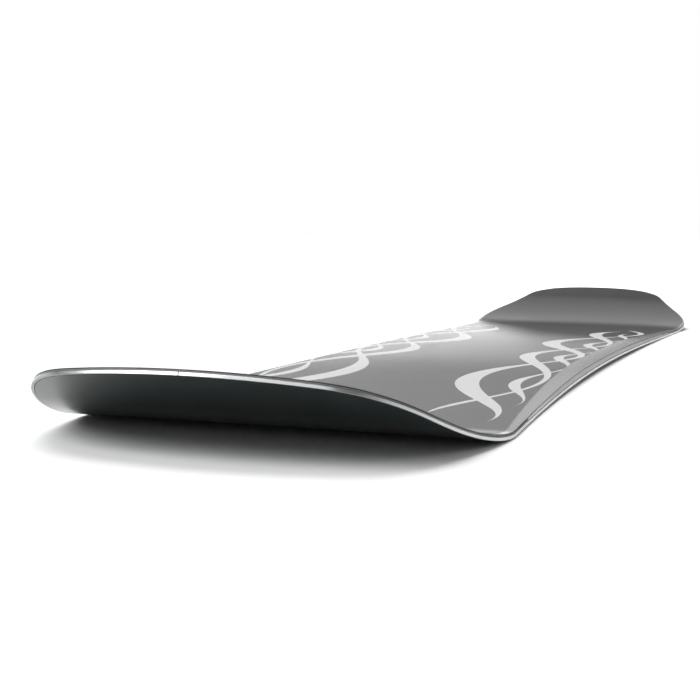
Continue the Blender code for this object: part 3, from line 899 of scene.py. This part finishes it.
FINISHES = {
    "topsheet_grey": make_topsheet_finish(),
    "base_black": make_base_finish(),
    # The edge's underside colour is painted shade, darker to dim its reflection
    "edge_steel": make_steel_finish("edge_steel_ground", (0.52, 0.53, 0.54, 1.0), 0.24,
                                    unbent_place, 1.0, (0.19, 0.195, 0.20, 1.0)),
    "insert_steel": make_steel_finish("insert_steel_turned", (0.56, 0.56, 0.55, 1.0), 0.30,
                                      own_place, 0.6),
    "sidewall_grey": make_plastic_finish("sidewall_milled", (0.410, 0.412, 0.416, 1.0),
                                         (0.470, 0.472, 0.476, 1.0), 0.38, unbent_place),
    "spacer_black": make_plastic_finish("spacer_black_moulded", (0.036, 0.036, 0.036, 1.0),
                                        (0.050, 0.050, 0.050, 1.0), 0.50, own_place),
    "cap_black": make_plastic_finish("cap_black_moulded", (0.016, 0.016, 0.016, 1.0),
                                     (0.026, 0.026, 0.026, 1.0), 0.50, own_place),
    "glass_laminate": make_laminate_finish(),
    "poplar": make_wood_finish("poplar_planed", (0.68, 0.52, 0.33, 1.0),
                               (0.52, 0.36, 0.20, 1.0), 140.0, 0.15),
    "beech": make_wood_finish("beech_planed", (0.56, 0.35, 0.20, 1.0),
                              (0.38, 0.20, 0.10, 1.0), 220.0, 0.45),
}

# Each finer piece with the node that it stands for. The plugs stand for no node.
new_pieces = [(topsheet, "topsheet"), (upper_laminate, "upper_laminate"), (base, "base_sheet"),
              (lower_laminate, "lower_laminate"), (edges[0], "steel_edge_left"),
              (edges[1], "steel_edge_right"), (walls[0], "sidewall_left"),
              (walls[1], "sidewall_right"), *inserts]
slots = {row["node"]: row["material_slot"] for row in frame["record"]["subparts"]}
replaced = {node: piece for piece, node in new_pieces}
for plug in plugs:
    plug.data.materials.append(FINISHES["topsheet_grey"])
    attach(plug, "root")
for node, slot in slots.items():
    if node in replaced:
        piece = replaced[node]
        piece.data.materials.clear()
        piece.data.materials.append(FINISHES[slot])
        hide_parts(node)
        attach(piece, "root")
    else:
        part = bpy.data.objects[node]
        part.data.materials.clear()
        part.data.materials.append(FINISHES[slot])


# Floor, light and camera

FLOOR_SIZE = 120.0
FLOOR_DROP = 0.0002

# Heights on the sky between which the surroundings turn from white to grey, that grey, and
# the share of their light that falls on things
WHITE_BELOW = 0.16
GREY_ABOVE = 0.36
OVERHEAD_GREY = 0.20
LIGHT_SHARE = 0.35

# Camera: azimuth, angle down and roll in degrees, place and lens
CAMERA_ANGLES = (108.2846, 4.72439, 1.10557)
CAMERA_PLACE = (1.4973, 0.3413, 0.1327)
CAMERA_LENS = 73.83


def seen(tree):
    """1 for what the camera sees directly, in a reflection or through glass, otherwise 0."""
    path = add_node(tree, "LightPath").outputs
    return calc(tree, "MAXIMUM", calc(tree, "MAXIMUM", path["Is Camera Ray"],
                                      path["Is Glossy Ray"]), path["Is Transmission Ray"])


def make_floor():
    """Plain pale floor. Seen directly or in a reflection it is white."""
    bpy.ops.object.select_all(action="DESELECT")
    bpy.ops.mesh.primitive_plane_add(size=FLOOR_SIZE, location=(0.0, 0.0, -FLOOR_DROP))
    floor = bpy.context.object
    floor.name = "floor"
    finish, tree, shader = new_finish("floor_pale", Roughness=1.0, Specular_IOR_Level=0.0)
    wire(tree, shader, Base_Color=blend(tree, seen(tree), (0.80, 0.80, 0.80, 1.0),
                                        (1.0, 1.0, 1.0, 1.0)))
    floor.data.materials.append(finish)


def make_world():
    """Surroundings, white round the horizon and greyer overhead, that give little light."""
    world = bpy.data.worlds.new("studio")
    world.use_nodes = True
    tree = world.node_tree
    tree.nodes.clear()
    direction = add_node(tree, "TexCoord").outputs["Generated"]
    height = add_node(tree, "SeparateXYZ", {0: direction}).outputs["Z"]
    grey = remap(tree, height, WHITE_BELOW, GREY_ABOVE, 1.0, OVERHEAD_GREY, smooth=True)
    share = remap(tree, seen(tree), 0.0, 1.0, LIGHT_SHARE, 1.0)
    glow = add_node(tree, "Background", {"Color": (1.0, 1.0, 1.0, 1.0),
                                         "Strength": calc(tree, "MULTIPLY", grey, share)})
    end = tree.nodes.new("ShaderNodeOutputWorld")
    tree.links.new(glow.outputs[0], end.inputs[0])
    bpy.context.scene.world = world


def make_soft_light(name, azimuth, elevation, spread, strength):
    """Even soft light from one part of the sky, with its middle and spread in degrees."""
    data = bpy.data.lights.new(name, "SUN")
    data.energy = strength
    data.angle = math.radians(spread)
    lamp = bpy.data.objects.new(name, data)
    lamp.location = (0.0, 0.0, 2.0)
    lamp.rotation_euler = (0.0, math.radians(90 - elevation), math.radians(azimuth))
    bpy.context.scene.collection.objects.link(lamp)


def make_card_light(name, place, facing, width, height, radiance):
    """White card of light that the camera doesn't see, with its middle and its facing."""
    data = bpy.data.lights.new(name, "AREA")
    data.shape = "RECTANGLE"
    data.size, data.size_y = width, height
    data.energy = radiance * math.pi * width * height
    lamp = bpy.data.objects.new(name, data)
    lamp.location = place
    lamp.rotation_euler = Vector(facing).to_track_quat("-Z", "Y").to_euler()
    lamp.visible_camera = False
    bpy.context.scene.collection.objects.link(lamp)


def make_camera():
    """Camera low in front of the nose, at the photo's angle."""
    azimuth, down, roll = (math.radians(angle) for angle in CAMERA_ANGLES)
    forward = Vector((-math.sin(azimuth) * math.cos(down), math.cos(azimuth) * math.cos(down),
                      -math.sin(down)))
    right = Vector((math.cos(azimuth), math.sin(azimuth), 0.0))
    up = right.cross(forward)
    turned_right = math.cos(roll) * right + math.sin(roll) * up
    turned_up = math.cos(roll) * up - math.sin(roll) * right
    data = bpy.data.cameras.new("camera")
    data.lens = CAMERA_LENS
    data.clip_end = 200.0
    data.clip_start = 0.02
    camera = bpy.data.objects.new("camera", data)
    camera.matrix_world = (Matrix.Translation(CAMERA_PLACE)
                           @ Matrix((turned_right, turned_up, -forward)).transposed().to_4x4())
    bpy.context.scene.collection.objects.link(camera)
    bpy.context.scene.camera = camera


make_floor()
make_world()

# Azimuth, elevation, spread and strength of each lamp; middle, facing, size and radiance of
# each card
make_soft_light("key_light", -48.0, 43.0, 42.0, 2.00)
make_soft_light("front_light", 3.0, 38.0, 50.0, 0.60)
make_soft_light("top_light", -125.0, 64.0, 32.0, 1.45)
make_card_light("tall_back_card", (-3.6, -0.7, 1.75), (1.0, 0.2, -0.3), 3.4, 1.9, 2.35)
make_card_light("low_back_card", (-2.6, -0.75, 0.14), (0.456, 0.890, 0.0), 3.6, 0.28, 5.00)
make_card_light("left_card", (-0.2, 3.0, 1.90), (0.0, -1.0, -0.6), 3.4, 1.2, 0.80)
make_camera()
bpy.context.scene.view_settings.view_transform = "Standard"
